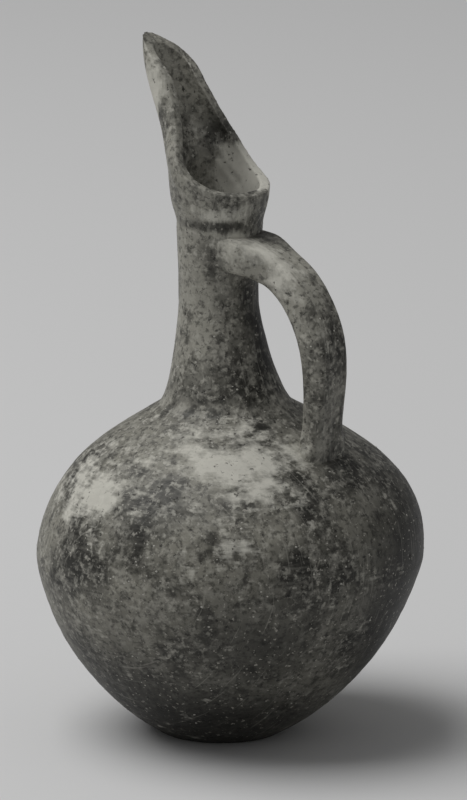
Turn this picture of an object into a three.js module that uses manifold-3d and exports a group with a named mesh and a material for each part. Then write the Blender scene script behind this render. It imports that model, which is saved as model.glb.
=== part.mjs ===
// A hand-built clay juglet: squat body, tall neck, strap handle and a pinched mouth cut away to a beak.
// Millimetres, +Z up. The origin is the middle of the flat base. The handle is on +X and the beak on -X.

import * as THREE from 'three';
import { mergeVertices } from 'three/addons/utils/BufferGeometryUtils.js';
import Module from 'manifold-3d';

// Joints between the luted pieces
const seamGap = 0.3; // open line left at each seam
const seamLap = 3; // how far a wall's seam slopes up towards the inside

// Body
const bodyWall = 5;
const baseRadius = 19; // the flat that the pot stands on
const baseFloor = 7; // thickness of the slab at its middle
const baseSeamHeight = 10;
const floorEdgeShare = 0.75; // share of the saucer's radius where its floor starts to rise
const floorLevelShare = 0.5;
const floorRiseShare = 0.25;
const heelReach = 36; // how far the outline keeps the slope of the heel
const heelAngle = 30; // degrees
const bellyRadius = 58.3;
const bellyHeight = 55;
const lowerFullness = 4;
const upperFullness = 32;
const domeHeight = 51.5; // from the belly up to where the dome would close on the neck
const domeMouthRadius = 12.4;
const domeReach = 21;
const domeAngle = 39; // degrees
const neckSeatRadius = 20.5;

// The pot leans a little, as hand-built pots do: how far its middle lies towards the handle
const bellyLean = 3.5;
const domeLean = 5;
const domeLeanRise = 22; // from the belly up to where that lean is
const seatLean = 2;
const neckLean = -1;
const mouthLean = -0.4;

// Neck
const neckWall = 4;
const neckRadius = 11.9; // at the waist
const neckFootSpread = 5.5;
const neckFootAngle = 35; // degrees
const neckWaistRise = 31; // from the seat up to the waist
const neckThroatRise = 25; // from the waist up to the seam of the mouth
const neckTopRadius = 12.9;
const neckWaistPull = 3.9; // how far below the waist the neck is already straight

// Mouth: each rise is counted from the level before it, and each shift is how far the section's
// middle has moved towards the beak
const mouthWall = 3.2;
const rimRise = 9.5;
const rimRadius = 15;
const throatRise = 9;
const throatHalfWidth = 16.3;
const throatHalfDepth = 14;
const throatShift = 1;
const pinchRise = 9.2;
const pinchHalfWidth = 12;
const pinchHalfDepth = 13.3;
const pinchShift = 6.5;
const channelRise = 10.4;
const channelHalfWidth = 9;
const channelHalfDepth = 10.3;
const channelShift = 14.5;
const beakRise = 8;
const beakHalfWidth = 8.3;
const beakHalfDepth = 7.8;
const beakShift = 19;
const tipRise = 7.8;
const tipHalfWidth = 4.6;
const tipHalfDepth = 6.3;
const tipShift = 23.2;

// The cut lips: how far they lie from the neck's middle at each level, towards the beak
const cutSideReach = -4; // the side of the rim is still towards the handle
const cutSideRise = 3.4; // above the rim over the handle
const cutThroatReach = 2.8;
const cutPinchReach = 6.9;
const cutChannelReach = 12;
const cutBeakReach = 18;

// Handle
const strapWidth = 13.2;
const strapThickness = 7;
const strapCorner = 2.2;
const archThickness = 9.8; // the strap is thicker where it arches over to the neck
const handleStandOff = 29.4; // from the neck's waist out to the middle of the upright strap
const handleFootReach = 35.5; // where the strap lands, from the middle of the shoulder
const handleRootDrop = 8; // from the mouth's seam down to the middle of the upper root
const archPull = 23.5; // how strongly the arch is drawn up over the upright strap
const uprightPull = 6.6; // how strongly the strap keeps upright below its middle
const thinningStart = 0.45; // shares of the handle's length between which the arch thins out
const thinningEnd = 0.85;
const rootWidth = 21; // the upper root is spread over the neck
const rootSpread = 14; // length of that spread
const footWidth = 16;
const footSpread = 9;
const tenonWidth = 9;
const tenonThickness = 5;
const tenonProud = 2.5; // how far the tenon stands out inside the shoulder
const tenonChamfer = 1;
const tenonRoot = 1.4; // how far the tenon reaches out into the strap's foot

// Facets
const bodySides = 48;
const neckSides = 36;
const outlineStep = 5.5; // distance between points along an outline
const handleStep = 5;
const cutFacets = 4; // along each stretch of the lips
const floorFacets = 8;
const cornerFacets = 3;

const wasm = await Module();
wasm.setup();

const degrees = (angle) => THREE.MathUtils.degToRad(angle);

// Booleans
function solidOf(geometry) {
  const bare = geometry.clone();
  bare.deleteAttribute('normal');
  bare.deleteAttribute('uv');
  const merged = mergeVertices(bare, 1e-4);
  const mesh = new wasm.Mesh({
    numProp: 3,
    vertProperties: new Float32Array(merged.attributes.position.array),
    triVerts: new Uint32Array(merged.index.array),
  });
  mesh.merge();
  return new wasm.Manifold(mesh);
}

function geometryOf(solid) {
  const mesh = solid.getMesh();
  const geometry = new THREE.BufferGeometry();
  geometry.setAttribute('position', new THREE.BufferAttribute(mesh.vertProperties, 3));
  geometry.setIndex(new THREE.BufferAttribute(mesh.triVerts, 1));
  return geometry;
}

// Turns an outline of (radius, height) points, given anticlockwise, about the pot's leaning middle
function revolve(points, sides) {
  const closed = points[0].x > 0 || points.at(-1).x > 0;
  const outline = closed ? [...points, points[0]] : points;
  return lean(new THREE.LatheGeometry(outline, sides).rotateX(Math.PI / 2));
}

// Skins a row of rings that have the same number of points. The last ring joins the first when the
// row is a loop, and otherwise both end rings are filled.
function loft(rings, isLoop) {
  const sides = rings[0].length;
  const positions = rings.flat().flatMap((point) => [point.x, point.y, point.z]);
  const index = [];
  const strips = isLoop ? rings.length : rings.length - 1;
  for (let row = 0; row < strips; row++) {
    const next = (row + 1) % rings.length;
    for (let side = 0; side < sides; side++) {
      const after = (side + 1) % sides;
      const a = row * sides + side;
      const b = row * sides + after;
      const c = next * sides + after;
      const d = next * sides + side;
      index.push(a, b, c, a, c, d);
    }
  }
  if (!isLoop) {
    const last = (rings.length - 1) * sides;
    for (let side = 1; side < sides - 1; side++) {
      index.push(0, side + 1, side);
      index.push(last, last + side, last + side + 1);
    }
  }
  const geometry = new THREE.BufferGeometry();
  geometry.setAttribute('position', new THREE.Float32BufferAttribute(positions, 3));
  geometry.setIndex(index);
  return geometry;
}

// The body's outside, from the edge of the flat base over the belly to the crown
const crownHeight = bellyHeight + domeHeight;
const bodyOutline = new THREE.Path();
bodyOutline.moveTo(baseRadius, 0);
bodyOutline.bezierCurveTo(
  baseRadius + heelReach * Math.cos(degrees(heelAngle)),
  heelReach * Math.sin(degrees(heelAngle)),
  bellyRadius,
  bellyHeight - lowerFullness,
  bellyRadius,
  bellyHeight,
);
bodyOutline.bezierCurveTo(
  bellyRadius,
  bellyHeight + upperFullness,
  domeMouthRadius + domeReach * Math.cos(degrees(domeAngle)),
  crownHeight - domeReach * Math.sin(degrees(domeAngle)),
  domeMouthRadius,
  crownHeight,
);
const bodyLength = bodyOutline.getLength();

// A point of the body's wall: how far along the outline, and how deep into the wall
function bodyPoint(along, depth) {
  const share = along / bodyLength;
  const point = bodyOutline.getPoint(share);
  const tangent = bodyOutline.getTangent(share);
  return new THREE.Vector2(point.x - tangent.y * depth, point.y + tangent.x * depth);
}

// Finds the first place on a row of lengths where a measure turns from false to true
function firstWhere(from, to, test) {
  let low = from;
  let high = to;
  for (let turn = 0; turn < 40; turn++) {
    const middle = (low + high) / 2;
    if (test(middle)) high = middle;
    else low = middle;
  }
  return high;
}

function spaced(from, to, step) {
  const count = Math.max(1, Math.round(Math.abs(to - from) / step));
  return Array.from({ length: count + 1 }, (_, i) => from + ((to - from) * i) / count);
}

const alongBelly = firstWhere(0, bodyLength, (s) => bodyPoint(s, 0).y >= bellyHeight);
const alongBaseSeam = firstWhere(0, alongBelly, (s) => bodyPoint(s, 0).y >= baseSeamHeight);
const alongNeckSeat = firstWhere(alongBelly, bodyLength, (s) => bodyPoint(s, 0).x <= neckSeatRadius);
const slopedGap = seamGap * Math.hypot(1, seamLap / bodyWall);
const seatOutside = bodyPoint(alongNeckSeat, 0);
const seatInside = bodyPoint(alongNeckSeat, bodyWall);
const waistHeight = seatOutside.y + neckWaistRise;
const mouthSeamHeight = waistHeight + neckThroatRise;

// The middle of the pot at each height
const leanCurve = new THREE.CubicInterpolant(
  [0, bellyHeight, bellyHeight + domeLeanRise, seatOutside.y, waistHeight, mouthSeamHeight],
  [0, bellyLean, domeLean, seatLean, neckLean, mouthLean],
  1,
);

function leanAt(height) {
  return leanCurve.evaluate(THREE.MathUtils.clamp(height, 0, mouthSeamHeight))[0];
}

function lean(geometry) {
  const position = geometry.attributes.position;
  for (let i = 0; i < position.count; i++) {
    position.setX(i, position.getX(i) + leanAt(position.getZ(i)));
  }
  return geometry;
}

// A shell of the body's wall between two seams, each given as its outer and inner place
function bodyShell(outerFrom, innerFrom, outerTo, innerTo) {
  const outside = spaced(outerFrom, outerTo, outlineStep).map((s) => bodyPoint(s, 0));
  const inside = spaced(innerTo, innerFrom, outlineStep).map((s) => bodyPoint(s, bodyWall));
  return revolve([...outside, ...inside], bodySides);
}

// Base: a slab pressed to a shallow saucer
function makeBaseDisc() {
  const outside = spaced(0, alongBaseSeam, outlineStep / 2).map((s) => bodyPoint(s, 0));
  const seamInside = bodyPoint(alongBaseSeam + seamLap, bodyWall);
  const floor = new THREE.CubicBezierCurve(
    seamInside,
    new THREE.Vector2(
      seamInside.x * floorEdgeShare,
      baseFloor + (seamInside.y - baseFloor) * floorRiseShare,
    ),
    new THREE.Vector2(seamInside.x * floorLevelShare, baseFloor),
    new THREE.Vector2(0, baseFloor),
  );
  return revolve([new THREE.Vector2(0, 0), ...outside, ...floor.getPoints(floorFacets)], bodySides);
}

function makeLowerWall() {
  const start = alongBaseSeam + slopedGap;
  return bodyShell(start, start + seamLap, alongBelly, alongBelly + seamLap);
}

// The neck's outside from its seat on the dome up to the seam of the mouth
function neckOutside(extra) {
  const path = new THREE.Path();
  const foot = new THREE.Vector2(seatOutside.x + extra, seatOutside.y);
  path.moveTo(foot.x, foot.y);
  path.bezierCurveTo(
    foot.x - neckFootSpread * Math.cos(degrees(neckFootAngle)),
    foot.y + neckFootSpread * Math.sin(degrees(neckFootAngle)),
    neckRadius + extra,
    waistHeight - neckWaistPull,
    neckRadius + extra,
    waistHeight,
  );
  path.bezierCurveTo(
    neckRadius + extra,
    waistHeight + neckThroatRise / 2,
    neckTopRadius + extra,
    mouthSeamHeight - neckThroatRise / 4,
    neckTopRadius + extra,
    mouthSeamHeight,
  );
  return path.getSpacedPoints(Math.round(path.getLength() / outlineStep));
}

function makeNeckTube() {
  const path = new THREE.Path();
  path.moveTo(neckTopRadius - neckWall, mouthSeamHeight);
  path.bezierCurveTo(
    neckTopRadius - neckWall,
    mouthSeamHeight - neckThroatRise / 4,
    neckRadius - neckWall,
    waistHeight + neckThroatRise / 2,
    neckRadius - neckWall,
    waistHeight,
  );
  path.bezierCurveTo(
    neckRadius - neckWall,
    waistHeight - neckWaistRise / 2,
    (seatInside.x + neckRadius - neckWall) / 2,
    seatInside.y + neckFootSpread,
    seatInside.x,
    seatInside.y,
  );
  const inside = path.getSpacedPoints(Math.round(path.getLength() / outlineStep));
  return revolve([...neckOutside(0), ...inside], neckSides);
}

// Mouth. Level sections run from the neck up to the tip, each with a middle along X, a half depth
// along X and a half width along Y. A curve seen from the side then cuts the front away.
const rimHeight = mouthSeamHeight + rimRise;
const throatHeight = rimHeight + throatRise;
const pinchHeight = throatHeight + pinchRise;
const channelHeight = pinchHeight + channelRise;
const beakHeight = channelHeight + beakRise;
const tipHeight = beakHeight + tipRise;
const mouthCurve = new THREE.CubicInterpolant(
  [mouthSeamHeight, rimHeight, throatHeight, pinchHeight, channelHeight, beakHeight, tipHeight],
  [
    [mouthLean, neckTopRadius, neckTopRadius],
    [mouthLean, rimRadius, rimRadius],
    [mouthLean - throatShift, throatHalfDepth, throatHalfWidth],
    [mouthLean - pinchShift, pinchHalfDepth, pinchHalfWidth],
    [mouthLean - channelShift, channelHalfDepth, channelHalfWidth],
    [mouthLean - beakShift, beakHalfDepth, beakHalfWidth],
    [mouthLean - tipShift, tipHalfDepth, tipHalfWidth],
  ].flat(),
  3,
);

function mouthRing(height, inset) {
  const [middle, halfDepth, halfWidth] = mouthCurve.evaluate(height);
  const ellipse = new THREE.EllipseCurve(middle, 0, halfDepth - inset, halfWidth - inset);
  return ellipse.getPoints(neckSides).slice(1).map((p) => new THREE.Vector3(p.x, p.y, height));
}

function mouthHorn(from, inset) {
  return solidOf(loft(spaced(from, tipHeight, outlineStep).map((h) => mouthRing(h, inset)), false));
}

function mouthCut() {
  const lipAt = (reach, height) => new THREE.Vector2(mouthLean - reach, height);
  const tipReach = tipShift + tipHalfDepth;
  const line = new THREE.SplineCurve([
    lipAt(-rimRadius, rimHeight),
    lipAt(cutSideReach, rimHeight + cutSideRise),
    lipAt(cutThroatReach, throatHeight),
    lipAt(cutPinchReach, pinchHeight),
    lipAt(cutChannelReach, channelHeight),
    lipAt(cutBeakReach, beakHeight),
    lipAt(tipReach, tipHeight),
  ]);
  const shape = new THREE.Shape([
    lipAt(-2 * rimRadius, rimHeight),
    ...line.getPoints(6 * cutFacets),
    lipAt(tipReach, tipHeight + rimRadius),
    lipAt(-2 * rimRadius, tipHeight + rimRadius),
  ]);
  const block = new THREE.ExtrudeGeometry(shape, { depth: 4 * rimRadius, bevelEnabled: false });
  return solidOf(block.translate(0, 0, -2 * rimRadius).rotateX(Math.PI / 2));
}

function makeSpoutedMouth() {
  const seat = mouthSeamHeight + seamGap;
  return geometryOf(mouthHorn(seat, 0).subtract(mouthHorn(seat, mouthWall)).subtract(mouthCut()));
}

// Handle. The strap leaves the neck under the mouth, arches over and comes down upright to the shoulder.
const alongFoot = firstWhere(alongBelly, bodyLength, (s) => bodyPoint(s, 0).x <= handleFootReach);
const footOutside = bodyPoint(alongFoot, 0);
const footInside = bodyPoint(alongFoot, bodyWall + tenonProud);
const footPoint = new THREE.Vector3(footOutside.x + leanAt(footOutside.y), 0, footOutside.y);
const tenonEnd = new THREE.Vector3(footInside.x + leanAt(footOutside.y), 0, footInside.y);
const rootPoint = new THREE.Vector3(mouthLean + neckRadius / 2, 0, mouthSeamHeight - handleRootDrop);
const sunkPoint = footPoint.clone().setZ(footPoint.z - strapThickness);
const uprightPoint = new THREE.Vector3(
  neckLean + neckRadius + handleStandOff,
  0,
  (rootPoint.z + footPoint.z) / 2 - strapThickness,
);
const handlePath = new THREE.CurvePath();
handlePath.add(
  new THREE.CubicBezierCurve3(
    rootPoint,
    new THREE.Vector3(uprightPoint.x - handleStandOff / 2, 0, rootPoint.z),
    new THREE.Vector3(uprightPoint.x, 0, uprightPoint.z + archPull),
    uprightPoint,
  ),
);
handlePath.add(
  new THREE.CubicBezierCurve3(
    uprightPoint,
    new THREE.Vector3(uprightPoint.x, 0, uprightPoint.z - uprightPull),
    new THREE.Vector3(footPoint.x, 0, footPoint.z + strapThickness),
    sunkPoint,
  ),
);

// Corner-rounded section of a strap, as points across the path
function strapSection(width, thickness, corner) {
  const shape = new THREE.Shape();
  const w = width / 2;
  const t = thickness / 2;
  shape.moveTo(-w + corner, -t);
  shape.lineTo(w - corner, -t);
  shape.absarc(w - corner, -t + corner, corner, -Math.PI / 2, 0);
  shape.lineTo(w, t - corner);
  shape.absarc(w - corner, t - corner, corner, 0, Math.PI / 2);
  shape.lineTo(-w + corner, t);
  shape.absarc(-w + corner, t - corner, corner, Math.PI / 2, Math.PI);
  shape.lineTo(-w, -t + corner);
  shape.absarc(-w + corner, -t + corner, corner, Math.PI, 1.5 * Math.PI);
  return shape.getPoints(cornerFacets);
}

// Places a section at a point with its width along Y and its thickness square to the path
function ringAt(section, point, tangent) {
  const outward = new THREE.Vector3().crossVectors(tangent, new THREE.Vector3(0, 1, 0)).normalize();
  return section.map((p) => new THREE.Vector3(0, p.x, 0).addScaledVector(outward, p.y).add(point));
}

// The body and the neck as plugs without a hollow, standing off by a clearance
function bodyPlug(extra) {
  const outside = spaced(0, alongNeckSeat, outlineStep).map((s) => bodyPoint(s, -extra));
  const top = new THREE.Vector2(0, seatOutside.y + extra);
  return revolve([new THREE.Vector2(0, -extra), ...outside, top], bodySides);
}

function neckPlug(extra) {
  const bottom = new THREE.Vector2(0, seatOutside.y - bodyWall);
  const top = new THREE.Vector2(0, mouthSeamHeight);
  return revolve([bottom, ...neckOutside(extra), top], neckSides);
}

// The tenon runs square to the shoulder's wall, from inside the strap's foot to inside the pot
function tenonBar(clearance) {
  const inward = new THREE.Vector3().subVectors(tenonEnd, footPoint).normalize();
  const start = footPoint.clone().addScaledVector(inward, -tenonRoot);
  const end = tenonEnd.clone().addScaledVector(inward, clearance);
  const shoulder = end.clone().addScaledVector(inward, -tenonChamfer);
  const width = tenonWidth + 2 * clearance;
  const thickness = tenonThickness + 2 * clearance;
  const chamfers = 2 * tenonChamfer;
  const full = strapSection(width, thickness, strapCorner);
  const tip = strapSection(width - chamfers, thickness - chamfers, strapCorner - tenonChamfer);
  return loft([ringAt(full, start, inward), ringAt(full, shoulder, inward), ringAt(tip, end, inward)], false);
}

function makeStrapHandle() {
  const { smoothstep } = THREE.MathUtils;
  const length = handlePath.getLength();
  const rings = spaced(0, length, handleStep).map((along) => {
    const root = 1 - smoothstep(along, neckRadius / 2, neckRadius / 2 + rootSpread);
    const foot = smoothstep(along, length - strapThickness - footSpread, length - strapThickness);
    const arch = 1 - smoothstep(along, length * thinningStart, length * thinningEnd);
    const width = strapWidth + (rootWidth - strapWidth) * root + (footWidth - strapWidth) * foot;
    const thickness = strapThickness + (archThickness - strapThickness) * arch;
    const place = handlePath.getPointAt(along / length);
    return ringAt(strapSection(width, thickness, strapCorner), place, handlePath.getTangentAt(along / length));
  });
  const strap = solidOf(loft(rings, false))
    .subtract(solidOf(bodyPlug(seamGap)))
    .subtract(solidOf(neckPlug(seamGap)));
  return geometryOf(strap.add(solidOf(tenonBar(0))));
}

function makeShoulderWall() {
  const start = alongBelly + slopedGap;
  const end = alongNeckSeat - seamGap;
  const shell = bodyShell(start, start + seamLap, end, end);
  return geometryOf(solidOf(shell).subtract(solidOf(tenonBar(seamGap))));
}

// Fired clay, smoke-grey and burnished, paler where it is crusted
const finishes = {
  base_disc: { color: 0x3d3c38, roughness: 0.7 },
  lower_wall: { color: 0x55544f, roughness: 0.6 },
  shoulder_wall: { color: 0x84837d, roughness: 0.65 },
  neck_tube: { color: 0x62615b, roughness: 0.6 },
  spouted_mouth: { color: 0x706f69, roughness: 0.65 },
  strap_handle: { color: 0x6b6a64, roughness: 0.6 },
};

const shapes = {
  base_disc: makeBaseDisc(),
  lower_wall: makeLowerWall(),
  shoulder_wall: makeShoulderWall(),
  neck_tube: makeNeckTube(),
  spouted_mouth: makeSpoutedMouth(),
  strap_handle: makeStrapHandle(),
};

const juglet = new THREE.Group();
for (const [name, geometry] of Object.entries(shapes)) {
  const material = new THREE.MeshStandardMaterial({ ...finishes[name], metalness: 0 });
  const mesh = new THREE.Mesh(geometry, material);
  mesh.name = name;
  juglet.add(mesh);
}

export default juglet;
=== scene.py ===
import math

import bmesh
import bpy
import numpy as np
from mathutils import Matrix, Vector, noise


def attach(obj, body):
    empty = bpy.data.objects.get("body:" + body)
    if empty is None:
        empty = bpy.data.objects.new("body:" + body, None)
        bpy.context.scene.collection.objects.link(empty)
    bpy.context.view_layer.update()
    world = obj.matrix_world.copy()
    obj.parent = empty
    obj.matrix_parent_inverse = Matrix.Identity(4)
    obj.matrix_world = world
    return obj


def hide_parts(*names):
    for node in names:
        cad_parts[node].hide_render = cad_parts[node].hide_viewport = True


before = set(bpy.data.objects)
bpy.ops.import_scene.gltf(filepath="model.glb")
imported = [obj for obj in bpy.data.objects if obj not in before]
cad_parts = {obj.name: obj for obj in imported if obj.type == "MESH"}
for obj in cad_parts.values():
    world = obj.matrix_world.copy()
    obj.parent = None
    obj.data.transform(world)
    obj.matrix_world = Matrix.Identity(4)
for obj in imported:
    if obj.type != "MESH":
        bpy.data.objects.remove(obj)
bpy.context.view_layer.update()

mm = 0.001
curvePoints = 600  # places along each curve
searchPoints = 4000
probe = 0.05  # how far ahead and behind a direction is measured
sharpAngle = 55  # degrees
seamLine = 0.02  # what stays open between two pieces of clay
slopedSeam = 0.024  # the same along the walls, where the seam slopes


# A smooth curve through given heights and values
def cubicAt(places, values, at):
    places = np.asarray(places, float)
    values = np.asarray(values, float)
    at = np.clip(at, places[0], places[-1])
    last = len(places) - 1
    end = np.clip(np.searchsorted(places, at, side="right"), 1, last)
    start = end - 1
    half = (places[end] - places[start]) / 2
    before = np.where(start > 0, start - 1, end)
    after = np.where(end < last, np.minimum(end + 1, last), start)
    weightBefore = half / (places[start] - places[before])
    weightAfter = half / (places[after] - places[end])
    share = (at - places[start]) / (places[end] - places[start])
    square, cube = share ** 2, share ** 3
    return (
        weightBefore * (-cube + 2 * square - share) * values[before]
        + ((1 + weightBefore) * cube - (1.5 + 2 * weightBefore) * square + (weightBefore - 0.5) * share + 1)
        * values[start]
        + ((1.5 + weightAfter) * square - (1 + weightAfter) * cube + 0.5 * share) * values[end]
        + weightAfter * (cube - square) * values[after]
    )


def smoothStep(value, low, high):
    share = np.clip((value - low) / (high - low), 0, 1)
    return share * share * (3 - 2 * share)


def bezier(*corners):
    start, leave, arrive, end = (np.asarray(corner, float) for corner in corners)
    t = np.linspace(0, 1, curvePoints)[:, None]
    return (1 - t) ** 3 * start + 3 * (1 - t) ** 2 * t * leave + 3 * (1 - t) * t ** 2 * arrive + t ** 3 * end


# A line that is walked by its length: places on it and its directions there
def track(*curves):
    points = np.concatenate([curves[0], *[curve[1:] for curve in curves[1:]]])
    steps = np.linalg.norm(np.diff(points, axis=0), axis=1)
    lengths = np.concatenate([[0], np.cumsum(steps)])
    return {"points": points, "lengths": lengths, "length": lengths[-1]}


def walk(line, along):
    return np.stack([np.interp(along, line["lengths"], axis) for axis in line["points"].T], axis=-1)


def heading(line, along):
    along = np.clip(along, probe, line["length"] - probe)
    step = walk(line, along + probe) - walk(line, along - probe)
    return step / np.linalg.norm(step, axis=-1, keepdims=True)


def spaced(start, end, step):
    return np.linspace(start, end, max(2, round(abs(end - start) / step) + 1))


def walked(line, step):
    return walk(line, spaced(0, line["length"], step))


# Skins a row of rings into one closed piece
def skin(name, rings, isLoop=False):
    rows, sides = rings.shape[:2]
    index = np.arange(rows * sides).reshape(rows, sides)
    lower = index if isLoop else index[:-1]
    upper = np.roll(index, -1, axis=0) if isLoop else index[1:]
    corners = [lower, np.roll(lower, -1, axis=1), np.roll(upper, -1, axis=1), upper]
    faces = np.stack(corners, axis=-1).reshape(-1, 4).tolist()
    if not isLoop:
        faces += [index[0, ::-1].tolist(), index[-1].tolist()]
    mesh = bpy.data.meshes.new(name)
    mesh.from_pydata((rings.reshape(-1, 3) * mm).tolist(), [], faces)
    work = bmesh.new()
    work.from_mesh(mesh)
    bmesh.ops.recalc_face_normals(work, faces=work.faces)
    work.to_mesh(mesh)
    work.free()
    piece = bpy.data.objects.new(name, mesh)
    bpy.context.scene.collection.objects.link(piece)
    return piece


def bake(piece):
    bpy.context.view_layer.update()
    graph = bpy.context.evaluated_depsgraph_get()
    mesh = bpy.data.meshes.new_from_object(piece.evaluated_get(graph))
    piece.modifiers.clear()
    piece.data = mesh
    return piece


def cut(piece, tool):
    modifier = piece.modifiers.new("cut", "BOOLEAN")
    modifier.object = tool
    modifier.operation = "DIFFERENCE"
    modifier.solver = "MANIFOLD"
    bake(piece)
    bpy.data.objects.remove(tool)


# Evens the mesh out and rounds its edges as wet fingers do
def soften(piece, look):
    even = piece.modifiers.new("even", "REMESH")
    even.mode = "VOXEL"
    even.voxel_size = look["grain"] * mm
    rounded = piece.modifiers.new("rounded", "SMOOTH")
    rounded.factor = 0.5
    rounded.iterations = look["softening"]
    bake(piece)


# The body's three pieces share one wall
body = {
    "wall": 5, "seamLap": 3, "baseSeamHeight": 10, "sides": 340, "step": 1.0,
    "baseRadius": 19, "baseFloor": 7, "poleRadius": 1,
    "floorEdge": 0.75, "floorLevel": 0.5, "floorRise": 0.25,  # shares of the saucer inside the base
    "heelReach": 36, "heelAngle": 30, "lowerFullness": 4,
    "bellyRadius": 58.3, "bellyHeight": 55, "upperFullness": 32,
    "domeHeight": 51.5, "domeMouthRadius": 12.4, "domeReach": 21, "domeAngle": 39,
    "neckSeatRadius": 20.5,
}
# How far the pot's middle lies towards the handle, at the heights of the body and then higher up
leaning = {"rises": [0, 55, 77], "leans": [0, 3.5, 5], "seat": 2, "waist": -1, "mouth": -0.4}

heelAngle = math.radians(body["heelAngle"])
domeAngle = math.radians(body["domeAngle"])
crown = body["bellyHeight"] + body["domeHeight"]
bellyEdge = (body["bellyRadius"], body["bellyHeight"])
heelEnd = (
    body["baseRadius"] + body["heelReach"] * math.cos(heelAngle),
    body["heelReach"] * math.sin(heelAngle),
)
domeStart = (
    body["domeMouthRadius"] + body["domeReach"] * math.cos(domeAngle),
    crown - body["domeReach"] * math.sin(domeAngle),
)
# The outside line, from the edge of the flat base over the belly to the crown
bodyLine = track(
    bezier(
        (body["baseRadius"], 0),
        heelEnd,
        (body["bellyRadius"], body["bellyHeight"] - body["lowerFullness"]),
        bellyEdge,
    ),
    bezier(
        bellyEdge,
        (body["bellyRadius"], body["bellyHeight"] + body["upperFullness"]),
        domeStart,
        (body["domeMouthRadius"], crown),
    ),
)


def bodyPoints(along, depth):
    inward = heading(bodyLine, along)[..., ::-1] * np.array([-1, 1])
    return walk(bodyLine, along) + inward * depth


def alongWhere(test):
    along = np.linspace(0, bodyLine["length"], searchPoints)
    return along[np.argmax(test(walk(bodyLine, along)))]


def alongDome(radius):
    return alongWhere(lambda place: (place[:, 0] <= radius) & (place[:, 1] > body["bellyHeight"]))


def leanAt(height):
    return cubicAt(leanRises, leanValues, height)


def turned(name, outline, sides, isLoop=False):
    angle = np.linspace(0, 2 * math.pi, sides, endpoint=False)
    radius, height = outline[:, :1], outline[:, 1:]
    across = radius * np.cos(angle) + leanAt(height)
    return skin(name, np.stack([across, radius * np.sin(angle), height + 0 * angle], axis=-1), isLoop)


def shell(name, outerFrom, innerFrom, outerTo, innerTo):
    outside = bodyPoints(spaced(outerFrom, outerTo, body["step"]), 0)
    inside = bodyPoints(spaced(innerTo, innerFrom, body["step"]), body["wall"])
    return turned(name, np.concatenate([outside, inside]), body["sides"], isLoop=True)


def makeBase():
    pole, floorHeight = body["poleRadius"], body["baseFloor"]
    edge = bodyPoints(alongBaseSeam + body["seamLap"], body["wall"])
    saucer = track(
        bezier(
            edge,
            (edge[0] * body["floorEdge"], floorHeight + (edge[1] - floorHeight) * body["floorRise"]),
            (edge[0] * body["floorLevel"], floorHeight),
            (pole, floorHeight),
        )
    )
    radii = spaced(pole, body["baseRadius"] - pole, body["step"])
    under = np.stack([radii, np.zeros_like(radii)], axis=-1)
    outside = bodyPoints(spaced(0, alongBaseSeam, body["step"]), 0)
    outline = np.concatenate([under, outside, walked(saucer, body["step"])])
    return turned("footedSlab", outline, body["sides"])


def makeLowerWall():
    start, lap = alongBaseSeam + slopedSeam, body["seamLap"]
    return shell("lowerWall", start, start + lap, alongBelly, alongBelly + lap)


def makeShoulder():
    start, end = alongBelly + slopedSeam, alongSeat - seamLine
    return shell("shoulderWall", start, start + body["seamLap"], end, end)


neck = {
    "wall": 4, "radius": 11.9, "topRadius": 12.9, "footSpread": 5.5, "footAngle": 35,
    "waistRise": 31, "waistPull": 3.9, "throatRise": 25, "sides": 200, "step": 0.7,
}


def neckLine(extra):
    angle = math.radians(neck["footAngle"])
    foot = seatOutside + np.array([extra, 0])
    radius, top = neck["radius"] + extra, neck["topRadius"] + extra
    return track(
        bezier(
            foot,
            foot + neck["footSpread"] * np.array([-math.cos(angle), math.sin(angle)]),
            (radius, waistHeight - neck["waistPull"]),
            (radius, waistHeight),
        ),
        bezier(
            (radius, waistHeight),
            (radius, waistHeight + neck["throatRise"] / 2),
            (top, mouthSeam - neck["throatRise"] / 4),
            (top, mouthSeam),
        ),
    )


def makeNeck():
    radius, top = neck["radius"] - neck["wall"], neck["topRadius"] - neck["wall"]
    inside = track(
        bezier(
            (top, mouthSeam),
            (top, mouthSeam - neck["throatRise"] / 4),
            (radius, waistHeight + neck["throatRise"] / 2),
            (radius, waistHeight),
        ),
        bezier(
            (radius, waistHeight),
            (radius, waistHeight - neck["waistRise"] / 2),
            ((seatInside[0] + radius) / 2, seatInside[1] + neck["footSpread"]),
            seatInside,
        ),
    )
    outline = [walked(neckLine(0), neck["step"]), walked(inside, neck["step"])]
    return turned("tallNeck", np.concatenate(outline), neck["sides"], isLoop=True)


# The mouth is a leaning horn of level ellipses, hollowed and then cut away along its lips. Rises are
# counted from the mouth's seam; shifts and lip reaches are how far towards the beak.
mouth = {
    "wall": 3.2, "rimRadius": 15, "rises": [0, 9.5, 18.5, 27.7, 38.1, 46.1, 53.9],
    "shifts": [0, 0, 1, 6.5, 14.5, 19, 23.2],
    "halfDepths": [12.9, 15, 14, 13.3, 10.3, 7.8, 6.3],
    "halfWidths": [12.9, 15, 16.3, 12, 9, 8.3, 4.6],
    "lipReaches": [-15, -4, 2.8, 6.9, 12, 18, 29.5],
    "lipRises": [9.5, 12.9, 18.5, 27.7, 38.1, 46.1, 53.9],
    "lipPoints": 24, "sides": 160, "step": 0.8,
    "spare": 4, "overrun": 1,  # below the seam and past the tip, and cut off again
    "grain": 0.4, "softening": 7,
}


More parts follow.
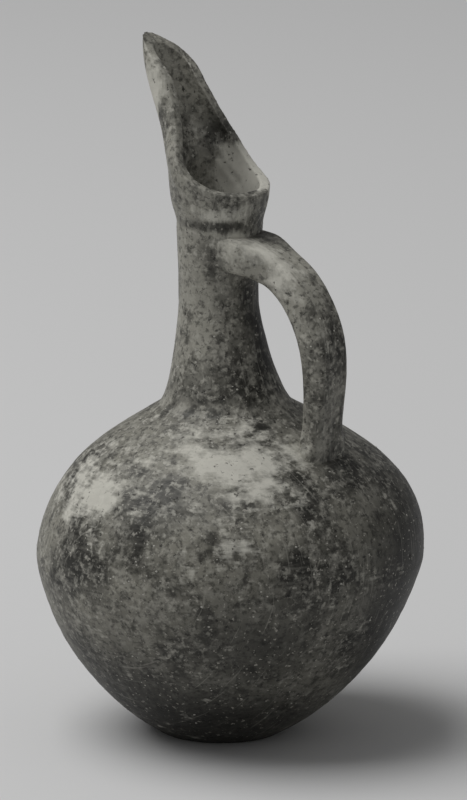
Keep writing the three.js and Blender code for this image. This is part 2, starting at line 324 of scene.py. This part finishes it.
def horn(name, low, high, inset):
    heights = spaced(low, high, mouth["step"])
    levels = [mouthSeam + rise for rise in mouth["rises"]]
    middles = [leaning["mouth"] - shift for shift in mouth["shifts"]]
    middle, halfDepth, halfWidth = (
        cubicAt(levels, values, heights)[:, None]
        for values in (middles, mouth["halfDepths"], mouth["halfWidths"])
    )
    angle = np.linspace(0, 2 * math.pi, mouth["sides"], endpoint=False)
    across = middle + (halfDepth - inset) * np.cos(angle)
    aside = (halfWidth - inset) * np.sin(angle)
    return skin(name, np.stack([across, aside, heights[:, None] + 0 * angle], axis=-1))


def lipLine():
    points = np.stack(
        [leaning["mouth"] - np.array(mouth["lipReaches"]), mouthSeam + np.array(mouth["lipRises"])],
        axis=-1,
    )
    padded = np.concatenate([points[:1], points, points[-1:]])
    share = np.linspace(0, 1, mouth["lipPoints"], endpoint=False)[:, None]
    places = []
    for before, start, end, after in zip(padded, padded[1:], padded[2:], padded[3:]):
        leave, arrive = (end - before) / 2, (after - start) / 2
        places.append(
            (2 * start - 2 * end + leave + arrive) * share ** 3
            + (-3 * start + 3 * end - 2 * leave - arrive) * share ** 2
            + leave * share
            + start
        )
    return np.concatenate([*places, points[-1:]])


def makeMouth():
    top = mouthSeam + mouth["rises"][-1]
    far = 2 * mouth["rimRadius"]
    handleSide = leaning["mouth"] + far
    piece = horn("spoutedMouth", mouthSeam - mouth["spare"], top, 0)
    cut(piece, horn("hollow", mouthSeam - 2 * mouth["spare"], top + mouth["overrun"], mouth["wall"]))
    lips = lipLine()
    corners = [(lips[-1][0], top + far), (handleSide, top + far), (handleSide, lips[0][1])]
    side = np.concatenate([lips, np.array(corners)])
    rings = [np.stack([side[:, 0], np.full(len(side), y), side[:, 1]], axis=-1) for y in (-far, far)]
    cut(piece, skin("lipCut", np.array(rings)))
    soften(piece, mouth)
    square = [(-far, -far), (far, -far), (far, far), (-far, far)]
    levels = (mouthSeam - far, mouthSeam + seamLine)
    cut(piece, skin("seamCut", np.array([[(x, y, height) for x, y in square] for height in levels])))
    return piece


strap = {
    "width": 13.2, "thickness": 7, "corner": 2.2, "cornerPoints": 9, "archThickness": 9.8,
    "standOff": 29.4, "footReach": 35.5, "rootDrop": 8, "archPull": 23.5, "uprightPull": 6.6,
    "rootWidth": 21, "rootSpread": 14, "footWidth": 16, "footSpread": 9,
    "thinning": (0.45, 0.85),  # shares of its length between which the arch thins out
    "sunk": 0.4,  # into the body and the neck
    "step": 0.8, "grain": 0.4, "softening": 5,
}


def roundedSection(width, thickness):
    corner = strap["corner"]
    turn = np.linspace(0, math.pi / 2, strap["cornerPoints"])
    points = []
    for quarter, (across, out) in enumerate([(1, 1), (-1, 1), (-1, -1), (1, -1)]):
        angle = turn + quarter * math.pi / 2
        x = across * (width / 2 - corner) + corner * np.cos(angle)
        y = out * (thickness / 2 - corner) + corner * np.sin(angle)
        points.append(np.stack([x, y], axis=-1))
    return np.concatenate(points)


# From the middle of its root in the neck, over the arch and upright down into the shoulder
def strapPath():
    landing = bodyPoints(alongDome(strap["footReach"]), 0)
    foot = np.array([landing[0] + leanAt(landing[1]), 0, landing[1]])
    root = np.array([leaning["mouth"] + neck["radius"] / 2, 0, mouthSeam - strap["rootDrop"]])
    sink = np.array([0, 0, strap["thickness"]])
    uprightX = leaning["waist"] + neck["radius"] + strap["standOff"]
    uprightZ = (root[2] + foot[2]) / 2 - strap["thickness"]
    return track(
        bezier(
            root,
            (uprightX - strap["standOff"] / 2, 0, root[2]),
            (uprightX, 0, uprightZ + strap["archPull"]),
            (uprightX, 0, uprightZ),
        ),
        bezier(
            (uprightX, 0, uprightZ),
            (uprightX, 0, uprightZ - strap["uprightPull"]),
            foot + sink,
            foot - sink,
        ),
    )


def makeStrap():
    path = strapPath()
    length, rootEnd = path["length"], neck["radius"] / 2
    footEnd = length - strap["thickness"]
    thinFrom, thinTo = (length * share for share in strap["thinning"])
    rings = []
    for along in spaced(0, length, strap["step"]):
        nearRoot = 1 - smoothStep(along, rootEnd, rootEnd + strap["rootSpread"])
        nearFoot = smoothStep(along, footEnd - strap["footSpread"], footEnd)
        onArch = 1 - smoothStep(along, thinFrom, thinTo)
        width = strap["width"] + (strap["rootWidth"] - strap["width"]) * nearRoot
        width += (strap["footWidth"] - strap["width"]) * nearFoot
        thickness = strap["thickness"] + (strap["archThickness"] - strap["thickness"]) * onArch
        section = roundedSection(width, thickness)
        outward = np.cross(heading(path, along), (0, 1, 0))
        rings.append(walk(path, along) + section[:, :1] * np.array([0, 1, 0]) + section[:, 1:] * outward)
    piece = skin("strapHandle", np.array(rings))
    soften(piece, strap)
    wall = bodyPoints(spaced(0, alongSeat, body["step"]), strap["sunk"])
    cut(piece, turned("bodyPlug", wall, body["sides"]))
    bottom = np.array([[body["poleRadius"], seatOutside[1] - body["wall"]]])
    outline = np.concatenate([bottom, walked(neckLine(-strap["sunk"]), neck["step"])])
    cut(piece, turned("neckPlug", outline, neck["sides"]))
    return piece


alongBaseSeam = alongWhere(lambda place: place[:, 1] >= body["baseSeamHeight"])
alongBelly = alongWhere(lambda place: place[:, 1] >= body["bellyHeight"])
alongSeat = alongDome(body["neckSeatRadius"])
seatOutside = bodyPoints(alongSeat, 0)
seatInside = bodyPoints(alongSeat, body["wall"])
waistHeight = seatOutside[1] + neck["waistRise"]
mouthSeam = waistHeight + neck["throatRise"]
leanRises = [*leaning["rises"], seatOutside[1], waistHeight, mouthSeam]
leanValues = [*leaning["leans"], leaning["seat"], leaning["waist"], leaning["mouth"]]

# What the hands left in the surface. Marks are their size along x, y and z, and their depth; folds are
# their start, end, width and height, and are left by the pinching.
handMarks = {
    "body": [((26, 26, 20), 0.35), ((13, 13, 2.4), 0.09), ((3, 3, 2), 0.05)],
    "neck": [((22, 22, 26), 0.3), ((2.6, 2.6, 14), 0.1), ((2, 2, 3), 0.05)],
    "mouth": [((12, 12, 12), 0.3), ((4, 4, 6), 0.12), ((1.8, 1.8, 1.8), 0.05)],
    "strap": [((16, 8, 16), 0.25), ((15, 1.7, 15), 0.2), ((2, 1.5, 2), 0.05)],
    "markSeed": (7.3, 3.1, 5.7),
    "crownFade": (92, 110),  # heights between which the wall is moved more and more level
    "calmBase": (0.5, 8), "calmSeam": 5,  # the flat base and the mouth's seam stay as they are
}
mouthFolds = [
    ((-14, 7, 181), (-5, 12.5, 167), 1.7, 1.3),
    ((-9, 9, 174), (-2, 13, 164), 1.2, -0.9),
    ((-4, -15, 170), (-11, -9, 188), 1.8, 0.7),
]
pits = {"spacing": 6.5, "radius": 1.1, "depth": 0.35, "share": 0.3, "seed": 97}


# The way in which each place of the wall moves: along the mesh's own normals, or out from the pot's
# middle, so that inside and outside move together and neighbouring pieces stay flush
def wallWays(mesh, places, byNormal):
    if byNormal:
        normals = np.empty(places.size)
        mesh.vertex_normals.foreach_get("vector", normals)
        return normals.reshape(-1, 3)
    height = places[:, 2]
    rise = (height - body["bellyHeight"]) * (1 - smoothStep(height, *handMarks["crownFade"]))
    ways = np.stack([places[:, 0] - leanAt(height), places[:, 1], rise], axis=-1)
    return ways / np.maximum(np.linalg.norm(ways, axis=1, keepdims=True), 1e-6)


def workSurface(piece, marks, byNormal):
    mesh = piece.data
    places = np.empty(len(mesh.vertices) * 3)
    mesh.vertices.foreach_get("co", places)
    places = places.reshape(-1, 3) / mm
    seedX, seedY, seedZ = handMarks["markSeed"]
    depths = np.zeros(len(places))
    for number, (size, depth) in enumerate(handMarks[marks]):
        offset = Vector((number * seedX, seedY, number * seedZ))
        scaled = places / np.array(size)
        depths += depth * np.array([noise.noise(Vector(place) + offset) for place in scaled])
    for start, end, width, height in mouthFolds if marks == "mouth" else []:
        start, line = np.array(start, float), np.array(end, float) - np.array(start, float)
        share = np.clip((places - start) @ line / (line @ line), 0, 1)
        away = np.linalg.norm(places - start - share[:, None] * line, axis=1)
        depths += height * np.exp(-((away / width) ** 2))
    for number, place in enumerate(places / pits["spacing"]):
        near, centres = noise.voronoi(Vector(place))
        reach = near[0] * pits["spacing"] / pits["radius"]
        if reach < 1 and noise.cell(centres[0] * pits["seed"]) < pits["share"]:
            depths[number] -= pits["depth"] * (1 - reach * reach) ** 2
    calm = smoothStep(places[:, 2], *handMarks["calmBase"])
    calm = calm * smoothStep(np.abs(places[:, 2] - mouthSeam), 0, handMarks["calmSeam"])
    moved = places + wallWays(mesh, places, byNormal) * (depths * calm)[:, None]
    mesh.vertices.foreach_set("co", (moved * mm).ravel())
    mesh.shade_smooth()
    mesh.set_sharp_from_angle(angle=math.radians(sharpAngle))
    mesh.update()


def toLinear(hexColour):
    values = [int(hexColour[i:i + 2], 16) / 255 for i in (1, 3, 5)]
    return (*[v / 12.92 if v <= 0.04045 else ((v + 0.055) / 1.055) ** 2.4 for v in values], 1)


# Adds a node with its settings, and its inputs as values or as links from other nodes
def addNode(tree, kind, inputs=None, **settings):
    node = tree.nodes.new(kind)
    for name, value in settings.items():
        setattr(node, name, value)
    for key, value in (inputs or {}).items():
        if isinstance(value, bpy.types.NodeSocket):
            tree.links.new(value, node.inputs[key])
        else:
            node.inputs[key].default_value = value
    return node


def newMaterial(name):
    material = bpy.data.materials.new(name)
    material.use_nodes = True
    return material, material.node_tree, material.node_tree.nodes["Principled BSDF"]


clay = {
    "blackCore": "#2a2925",
    "paleCoat": (0.4, 0.58, 1.0),  # where the piece's own pale tone starts and is full, and its cover
    "strokeDetail": 3,
    # Size of each pattern in millimetres along x, y and z, and its detail
    "patterns": {
        "mottling": ((26.3158, 26.3158, 26.3158), 6),
        "crumbling": ((8.33333, 8.33333, 8.33333), 7),
        "bloom": ((4.34783, 4.34783, 4.34783), 6),
        "sooting": ((6.25, 6.25, 6.25), 5),
        "darkGrain": ((1.6129, 1.6129, 1.6129), 5),
        "paleGrain": ((2.08333, 2.08333, 2.08333), 6),
        "specks": ((1.33333, 1.33333, 1.33333), 2),
        "scratches": ((22.2222, 0.666667, 22.2222), 1),
        "pinholes": ((1.785714, 1.785714, 1.785714), 3),
        "grit": ((0.555556, 0.555556, 0.555556), 4),  # real grit is finer; this shows in a picture
    },
    "scratchTurn": (0.5, 0.3, 0.9),
    # Coats from the first to the last: pattern, where it starts to show and is full, how much it
    # covers, colour
    "coats": [
        ("strokes", 0.45, 0.72, 0.35, "#8b8981"),
        ("bloom", 0.5, 0.64, 0.62, "#9b9990"),
        ("sooting", 0.46, 0.34, 0.7, "#2a2925"),
        ("darkGrain", 0.5, 0.38, 0.6, "#24231f"),
        ("paleGrain", 0.53, 0.66, 0.6, "#aeaca2"),
        # painted shade, dark in its patches and in random smoke mottles elsewhere
        ("smoke", 0.85, 2.0, 0.93, "#100f0d"),
        # lime, and inside the mouth also painted light
        ("lime", 2.594, 3.194, 0.8, "#cdcbc1"),
        ("specks", 0.64, 0.7, 0.7, "#a5a299"),
        ("scratches", 0.67, 0.72, 0.3, "#a09e95"),
        ("pinholes", 0.37, 0.31, 0.7, "#191815"),
    ],
    "smokeBreakup": 1.5, "limeBreakup": 3.2, "limeAlongStrokes": 0.35,
    "lipWear": (0.525, 0.6, 0.9), "lipHeights": (160, 168), "lipColour": "#b5b3aa",
    "relief": {"strokes": 0.7, "grit": 0.3, "limeCover": 0.5, "pinholesCover": -1.0},
    "reliefDepth": 0.25, "reliefStrength": 0.7, "noiseRoughness": 0.6,
    "gloss": (0.5, 0.85),  # roughness of the bare clay and under full lime
    "fullLime": 0.6, "refraction": 1.5, "specularLevel": 0.28,
}
patchEdge = (1.25, 0.2)  # shares of a patch's reach at which it starts and is full
# Where lime has stayed (inside the mouth also painted light), and painted shade: middle, reach and strength
limeAndPaintedLightPatches = [
    ((26, -23, 90), (30, 30, 15), 1.0),
    ((33, -10, 90), (11, 11, 9), 1.0),
    ((-12, -42, 80), (30, 24, 16), 0.9),
    ((30, -38, 70), (20, 16, 9), 0.65),
    ((11, -8, 150), (12, 10, 9), 0.8),
    # Inside the mouth: lime, and painted light on the inner wall, strong enough to make it fully pale
    ((2, 12, 168), (15, 14, 12), 2.4),
    ((10, -8, 161.5), (10, 10, 4), 1.0),
    ((-20, -8, 192), (10, 8, 18), 1.0),
    ((30, -6, 148), (18, 9, 12), 0.9),
]
# All painted shade: in the fold on the mouth's inner wall, on the right side, the lower right, the bottom,
# the neck behind the handle and the crease under the rim
smokePatches = [
    ((-8, 9, 181), (8, 8, 8), 1.0),
    ((54, 30, 46), (42, 52, 50), 1.45),
    ((44, -34, 36), (34, 30, 28), 0.9),
    ((6, -34, 10), (76, 76, 34), 1.1),
    ((9, 4, 122), (10, 10, 28), 1.2),
    ((7, -11, 157.5), (15, 12, 2.4), 0.9),
]


def patchMask(tree, place, patches):
    total = 0.0
    for centre, reach, strength in patches:
        inputs = {
            0: place,
            1: [1 / (length * mm) for length in reach],
            2: [-middle / length for middle, length in zip(centre, reach)],
        }
        scaled = addNode(tree, "ShaderNodeVectorMath", inputs, operation="MULTIPLY_ADD").outputs[0]
        away = addNode(tree, "ShaderNodeVectorMath", {0: scaled}, operation="LENGTH").outputs["Value"]
        inputs = {"Value": away, "From Min": patchEdge[0], "From Max": patchEdge[1], "To Max": strength}
        fade = addNode(tree, "ShaderNodeMapRange", inputs, interpolation_type="SMOOTHSTEP").outputs[0]
        total = addNode(tree, "ShaderNodeMath", {0: total, 1: fade}, operation="MAXIMUM").outputs[0]
    return total


# Smoke-grey fired clay rubbed with a pebble: the long strokes catch the light in a dull sheen, and thin
# lime, small specks, pinholes and scratches break it up
def burnishedClay(name, strokeSize, paleTone):
    material, tree, shader = newMaterial(name)
    place = addNode(tree, "ShaderNodeTexCoord").outputs["Object"]
    found = {}
    patterns = {"strokes": (strokeSize, clay["strokeDetail"]), **clay["patterns"]}
    for key, (size, detail) in patterns.items():
        inputs = {"Vector": place, "Scale": [1 / (length * mm) for length in size]}
        if key == "scratches":
            inputs["Rotation"] = clay["scratchTurn"]
        fitted = addNode(tree, "ShaderNodeMapping", inputs).outputs[0]
        inputs = {"Vector": fitted, "Scale": 1.0, "Detail": detail, "Roughness": clay["noiseRoughness"]}
        found[key] = addNode(tree, "ShaderNodeTexNoise", inputs).outputs["Fac"]

    # The painted shade and the lime keep to their patches, and break up at the patches' edges
    inputs = {0: found["mottling"], 1: clay["smokeBreakup"], 2: patchMask(tree, place, smokePatches)}
    found["smoke"] = addNode(tree, "ShaderNodeMath", inputs, operation="MULTIPLY_ADD").outputs[0]
    inputs = {0: found["strokes"], 1: clay["limeAlongStrokes"], 2: found["crumbling"]}
    crumbs = addNode(tree, "ShaderNodeMath", inputs, operation="MULTIPLY_ADD").outputs[0]
    inputs = {0: crumbs, 1: clay["limeBreakup"], 2: patchMask(tree, place, limeAndPaintedLightPatches)}
    found["lime"] = addNode(tree, "ShaderNodeMath", inputs, operation="MULTIPLY_ADD").outputs[0]

    colour = toLinear(clay["blackCore"])
    for key, low, high, most, tone in [("mottling", *clay["paleCoat"], paleTone), *clay["coats"]]:
        inputs = {"Value": found[key], "From Min": low, "From Max": high, "To Max": most}
        cover = addNode(tree, "ShaderNodeMapRange", inputs).outputs[0]
        inputs = {0: cover, 6: colour, 7: toLinear(tone)}
        colour = addNode(tree, "ShaderNodeMix", inputs, data_type="RGBA").outputs[2]
        found[key + "Cover"] = cover

    # The lips are rubbed pale where they are sharpest
    low, high, most = clay["lipWear"]
    pointed = addNode(tree, "ShaderNodeNewGeometry").outputs["Pointiness"]
    inputs = {"Value": pointed, "From Min": low, "From Max": high, "To Max": most}
    worn = addNode(tree, "ShaderNodeMapRange", inputs).outputs[0]
    level = addNode(tree, "ShaderNodeSeparateXYZ", {0: place}).outputs["Z"]
    low, high = clay["lipHeights"]
    inputs = {"Value": level, "From Min": low * mm, "From Max": high * mm, "To Max": worn}
    lips = addNode(tree, "ShaderNodeMapRange", inputs).outputs[0]
    inputs = {0: lips, 6: colour, 7: toLinear(clay["lipColour"])}
    colour = addNode(tree, "ShaderNodeMix", inputs, data_type="RGBA").outputs[2]

    height = 0.0
    for key, amount in clay["relief"].items():
        inputs = {0: found[key], 1: amount, 2: height}
        height = addNode(tree, "ShaderNodeMath", inputs, operation="MULTIPLY_ADD").outputs[0]
    inputs = {"Height": height, "Strength": clay["reliefStrength"], "Distance": clay["reliefDepth"] * mm}
    bump = addNode(tree, "ShaderNodeBump", inputs).outputs[0]
    bare, limed = clay["gloss"]
    inputs = {"Value": found["limeCover"], "From Max": clay["fullLime"], "To Min": bare, "To Max": limed}
    roughness = addNode(tree, "ShaderNodeMapRange", inputs).outputs[0]
    for socket, value in {"Base Color": colour, "Roughness": roughness, "Normal": bump}.items():
        tree.links.new(value, shader.inputs[socket])
    shader.inputs["IOR"].default_value = clay["refraction"]
    shader.inputs["Specular IOR Level"].default_value = clay["specularLevel"]
    return material


# Grain, relief, size and patch are in millimetres; smallest and largest are shares of the size
limeCrumbs = {
    "dark": "#8f8d85", "pale": "#c9c7bf", "roughness": 0.9,
    "grain": 1.11111, "grainDetail": 4.0, "relief": 0.1, "reliefStrength": 0.5,
    "size": 0.2, "smallest": 0.5, "largest": 1.9, "shape": (1, 0.8, 0.4), "roundness": 2,
    "patch": 18.1818, "patchDetail": 3.0, "patchShows": (0.46, 0.68),
}


# Lime dried on in the ground: chalky and matt, it gives the pale grains that stand off the wall
def driedLime():
    material, tree, shader = newMaterial("driedLime")
    place = addNode(tree, "ShaderNodeTexCoord").outputs["Object"]
    inputs = {"Vector": place, "Scale": 1 / (limeCrumbs["grain"] * mm), "Detail": limeCrumbs["grainDetail"]}
    grain = addNode(tree, "ShaderNodeTexNoise", inputs).outputs["Fac"]
    inputs = {0: grain, 6: toLinear(limeCrumbs["dark"]), 7: toLinear(limeCrumbs["pale"])}
    colour = addNode(tree, "ShaderNodeMix", inputs, data_type="RGBA").outputs[2]
    relief = {"Strength": limeCrumbs["reliefStrength"], "Distance": limeCrumbs["relief"] * mm}
    bump = addNode(tree, "ShaderNodeBump", {"Height": grain, **relief}).outputs[0]
    tree.links.new(bump, shader.inputs["Normal"])
    tree.links.new(colour, shader.inputs["Base Color"])
    shader.inputs["Roughness"].default_value = limeCrumbs["roughness"]
    return material


# Scatters flattened grains over the outside of a surface, in patches
def limeTree():
    tree = bpy.data.node_groups.new("limeScatter", "GeometryNodeTree")
    kinds = {"Surface": "Geometry", "Density": "Float", "Size": "Float", "Seed": "Int", "Lime": "Material"}
    sockets = {
        name: tree.interface.new_socket(name=name, in_out="INPUT", socket_type="NodeSocket" + kind)
        for name, kind in kinds.items()
    }
    tree.interface.new_socket(name="Grains", in_out="OUTPUT", socket_type="NodeSocketGeometry")
    given = addNode(tree, "NodeGroupInput").outputs
    place = addNode(tree, "GeometryNodeInputPosition").outputs[0]
    normal = addNode(tree, "GeometryNodeInputNormal").outputs[0]
    inputs = {0: place, 1: normal}
    facing = addNode(tree, "ShaderNodeVectorMath", inputs, operation="DOT_PRODUCT").outputs["Value"]
    isOutside = addNode(tree, "ShaderNodeMath", {0: facing, 1: 0.0}, operation="GREATER_THAN").outputs[0]
    inputs = {"Vector": place, "Scale": 1 / (limeCrumbs["patch"] * mm), "Detail": limeCrumbs["patchDetail"]}
    patch = addNode(tree, "ShaderNodeTexNoise", inputs).outputs["Fac"]
    low, high = limeCrumbs["patchShows"]
    inputs = {"Value": patch, "From Min": low, "From Max": high, "To Max": given["Density"]}
    amount = addNode(tree, "ShaderNodeMapRange", inputs).outputs[0]
    inputs = {"Mesh": given["Surface"], "Selection": isOutside, "Density": amount, "Seed": given["Seed"]}
    points = addNode(tree, "GeometryNodeDistributePointsOnFaces", inputs).outputs
    inputs = {"Radius": given["Size"], "Subdivisions": limeCrumbs["roundness"]}
    ball = addNode(tree, "GeometryNodeMeshIcoSphere", inputs).outputs[0]
    inputs = {"Geometry": ball, "Scale": limeCrumbs["shape"]}
    grain = addNode(tree, "GeometryNodeTransform", inputs).outputs[0]
    inputs = {2: limeCrumbs["smallest"], 3: limeCrumbs["largest"], "Seed": given["Seed"]}
    scale = addNode(tree, "FunctionNodeRandomValue", inputs).outputs[1]
    inputs = {"Points": points["Points"], "Instance": grain, "Rotation": points["Rotation"], "Scale": scale}
    grains = addNode(tree, "GeometryNodeInstanceOnPoints", inputs).outputs[0]
    real = addNode(tree, "GeometryNodeRealizeInstances", {"Geometry": grains}).outputs[0]
    inputs = {"Geometry": real, "Material": given["Lime"]}
    finished = addNode(tree, "GeometryNodeSetMaterial", inputs).outputs[0]
    addNode(tree, "NodeGroupOutput", {0: finished})
    return tree, sockets


def scatterLime(name, surface, density, seed):
    piece = bpy.data.objects.new(name, surface.data.copy())
    bpy.context.scene.collection.objects.link(piece)
    modifier = piece.modifiers.new("lime", "NODES")
    modifier.node_group = scatterTree
    values = {"Density": float(density), "Size": limeCrumbs["size"] * mm, "Seed": seed, "Lime": lime}
    for socket, value in values.items():
        modifier[scatterSockets[socket].identifier] = value
    return bake(piece)


# Strokes run round the body, and lengthwise on the neck, the mouth and the handle
# All three clays carry the same patches of painted shade
bodyClay = burnishedClay("fireBlackenedClayBurnishedRoundPaintedShade", (9.09091, 9.09091, 1.25), "#858379")
neckClay = burnishedClay("smokedClayBurnishedLengthwise", (1.428571, 1.428571, 13.3333), "#9a988e")
strapClay = burnishedClay("handledClayBurnishedLengthwise", (16.66667, 1.538462, 16.66667), "#9a988e")
lime = driedLime()
print("materials made")

parts = [
    ("base_disc", makeBase(), bodyClay, "body", False),
    ("lower_wall", makeLowerWall(), bodyClay, "body", False),
    ("shoulder_wall", makeShoulder(), bodyClay, "body", False),
    ("neck_tube", makeNeck(), neckClay, "neck", False),
    ("spouted_mouth", makeMouth(), neckClay, "mouth", True),
    ("strap_handle", makeStrap(), strapClay, "strap", True),
]
print("pieces shaped")

made = {}
for node, piece, material, marks, byNormal in parts:
    workSurface(piece, marks, byNormal)
    piece.data.materials.clear()
    piece.data.materials.append(material)
    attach(piece, "root")
    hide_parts(node)
    made[node] = piece
    print("worked", node, len(piece.data.polygons), "faces")

# Grains to a square metre, and the seed
scatterTree, scatterSockets = limeTree()
for name, node, density, seed in [
    ("limeOnShoulder", "shoulder_wall", 90000, 4),
    ("limeOnLowerWall", "lower_wall", 35000, 9),
    ("limeOnHandle", "strap_handle", 60000, 12),
    ("limeOnNeck", "neck_tube", 40000, 15),
]:
    grains = scatterLime(name, made[node], density, seed)
    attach(grains, "root")
    print("scattered", name, len(grains.data.polygons), "faces")

# Studio, in metres: one pale floor, a large soft lamp from the upper left and a pale sky
studio = {
    "floorColour": "#d6d6d6", "floorSize": 12.0, "floorDrop": 0.00005, "floorRoughness": 0.9,
    "skyColour": "#f0f0f0", "skyStrength": 0.25, "seenSky": 0.5,
    "lampPower": 47.0, "lampSize": 2.0, "lampAway": 2.4,
    "lampAcross": -0.8, "lampUp": 1.5, "lampNear": 0.35,
    "azimuth": 40, "elevation": 13.5, "distance": 2.0, "aim": (0, 0, 0.104), "lens": 300,
    "nudgeAcross": 0.00375, "nudgeUp": -0.0023,
}
floorMesh = bpy.data.meshes.new("studioFloor")
half = studio["floorSize"] / 2
floorCorners = [(-half, -half, 0), (half, -half, 0), (half, half, 0), (-half, half, 0)]
floorMesh.from_pydata(floorCorners, [], [(0, 1, 2, 3)])
floor = bpy.data.objects.new("studioFloor", floorMesh)
floor.location.z = -studio["floorDrop"]
bpy.context.scene.collection.objects.link(floor)
# Matt paper gives no gloss, only the pot's soft shadow
paper, _, paperShader = newMaterial("mattPaper")
paperShader.inputs["Base Color"].default_value = toLinear(studio["floorColour"])
paperShader.inputs["Roughness"].default_value = studio["floorRoughness"]
floorMesh.materials.append(paper)

azimuth, elevation = math.radians(studio["azimuth"]), math.radians(studio["elevation"])
level = math.cos(elevation)
right = Vector((math.cos(azimuth), math.sin(azimuth), 0))
back = Vector((math.sin(azimuth) * level, -math.cos(azimuth) * level, math.sin(elevation)))
up = back.cross(right)
aim = Vector(studio["aim"])


def placeFacing(thing, x, y, z, position):
    thing.matrix_world = Matrix.Translation(position) @ Matrix((x, y, z)).transposed().to_4x4()
    bpy.context.scene.collection.objects.link(thing)


camera = bpy.data.objects.new("camera", bpy.data.cameras.new("camera"))
camera.data.lens = studio["lens"]
eye = aim + back * studio["distance"] + right * studio["nudgeAcross"] + up * studio["nudgeUp"]
placeFacing(camera, right, up, back, eye)
bpy.context.scene.camera = camera

lampData = bpy.data.lights.new("softLamp", "AREA")
lampData.energy = studio["lampPower"]
lampData.size = studio["lampSize"]
lamp = bpy.data.objects.new("softLamp", lampData)
towards = right * studio["lampAcross"] + up * studio["lampUp"] + back * studio["lampNear"]
towards.normalize()
aside = Vector((0, 0, 1)).cross(towards).normalized()
placeFacing(lamp, aside, towards.cross(aside), towards, aim + towards * studio["lampAway"])

world = bpy.data.worlds.new("paleSky")
world.use_nodes = True
bpy.context.scene.world = world
sky = world.node_tree.nodes["Background"]
sky.inputs["Color"].default_value = toLinear(studio["skyColour"])
seen = addNode(world.node_tree, "ShaderNodeLightPath").outputs["Is Camera Ray"]
skyInputs = {"Value": seen, "To Min": studio["skyStrength"], "To Max": studio["seenSky"]}
strength = addNode(world.node_tree, "ShaderNodeMapRange", skyInputs).outputs[0]
world.node_tree.links.new(strength, sky.inputs["Strength"])
bpy.context.scene.view_settings.view_transform = "Standard"
print("studio set")
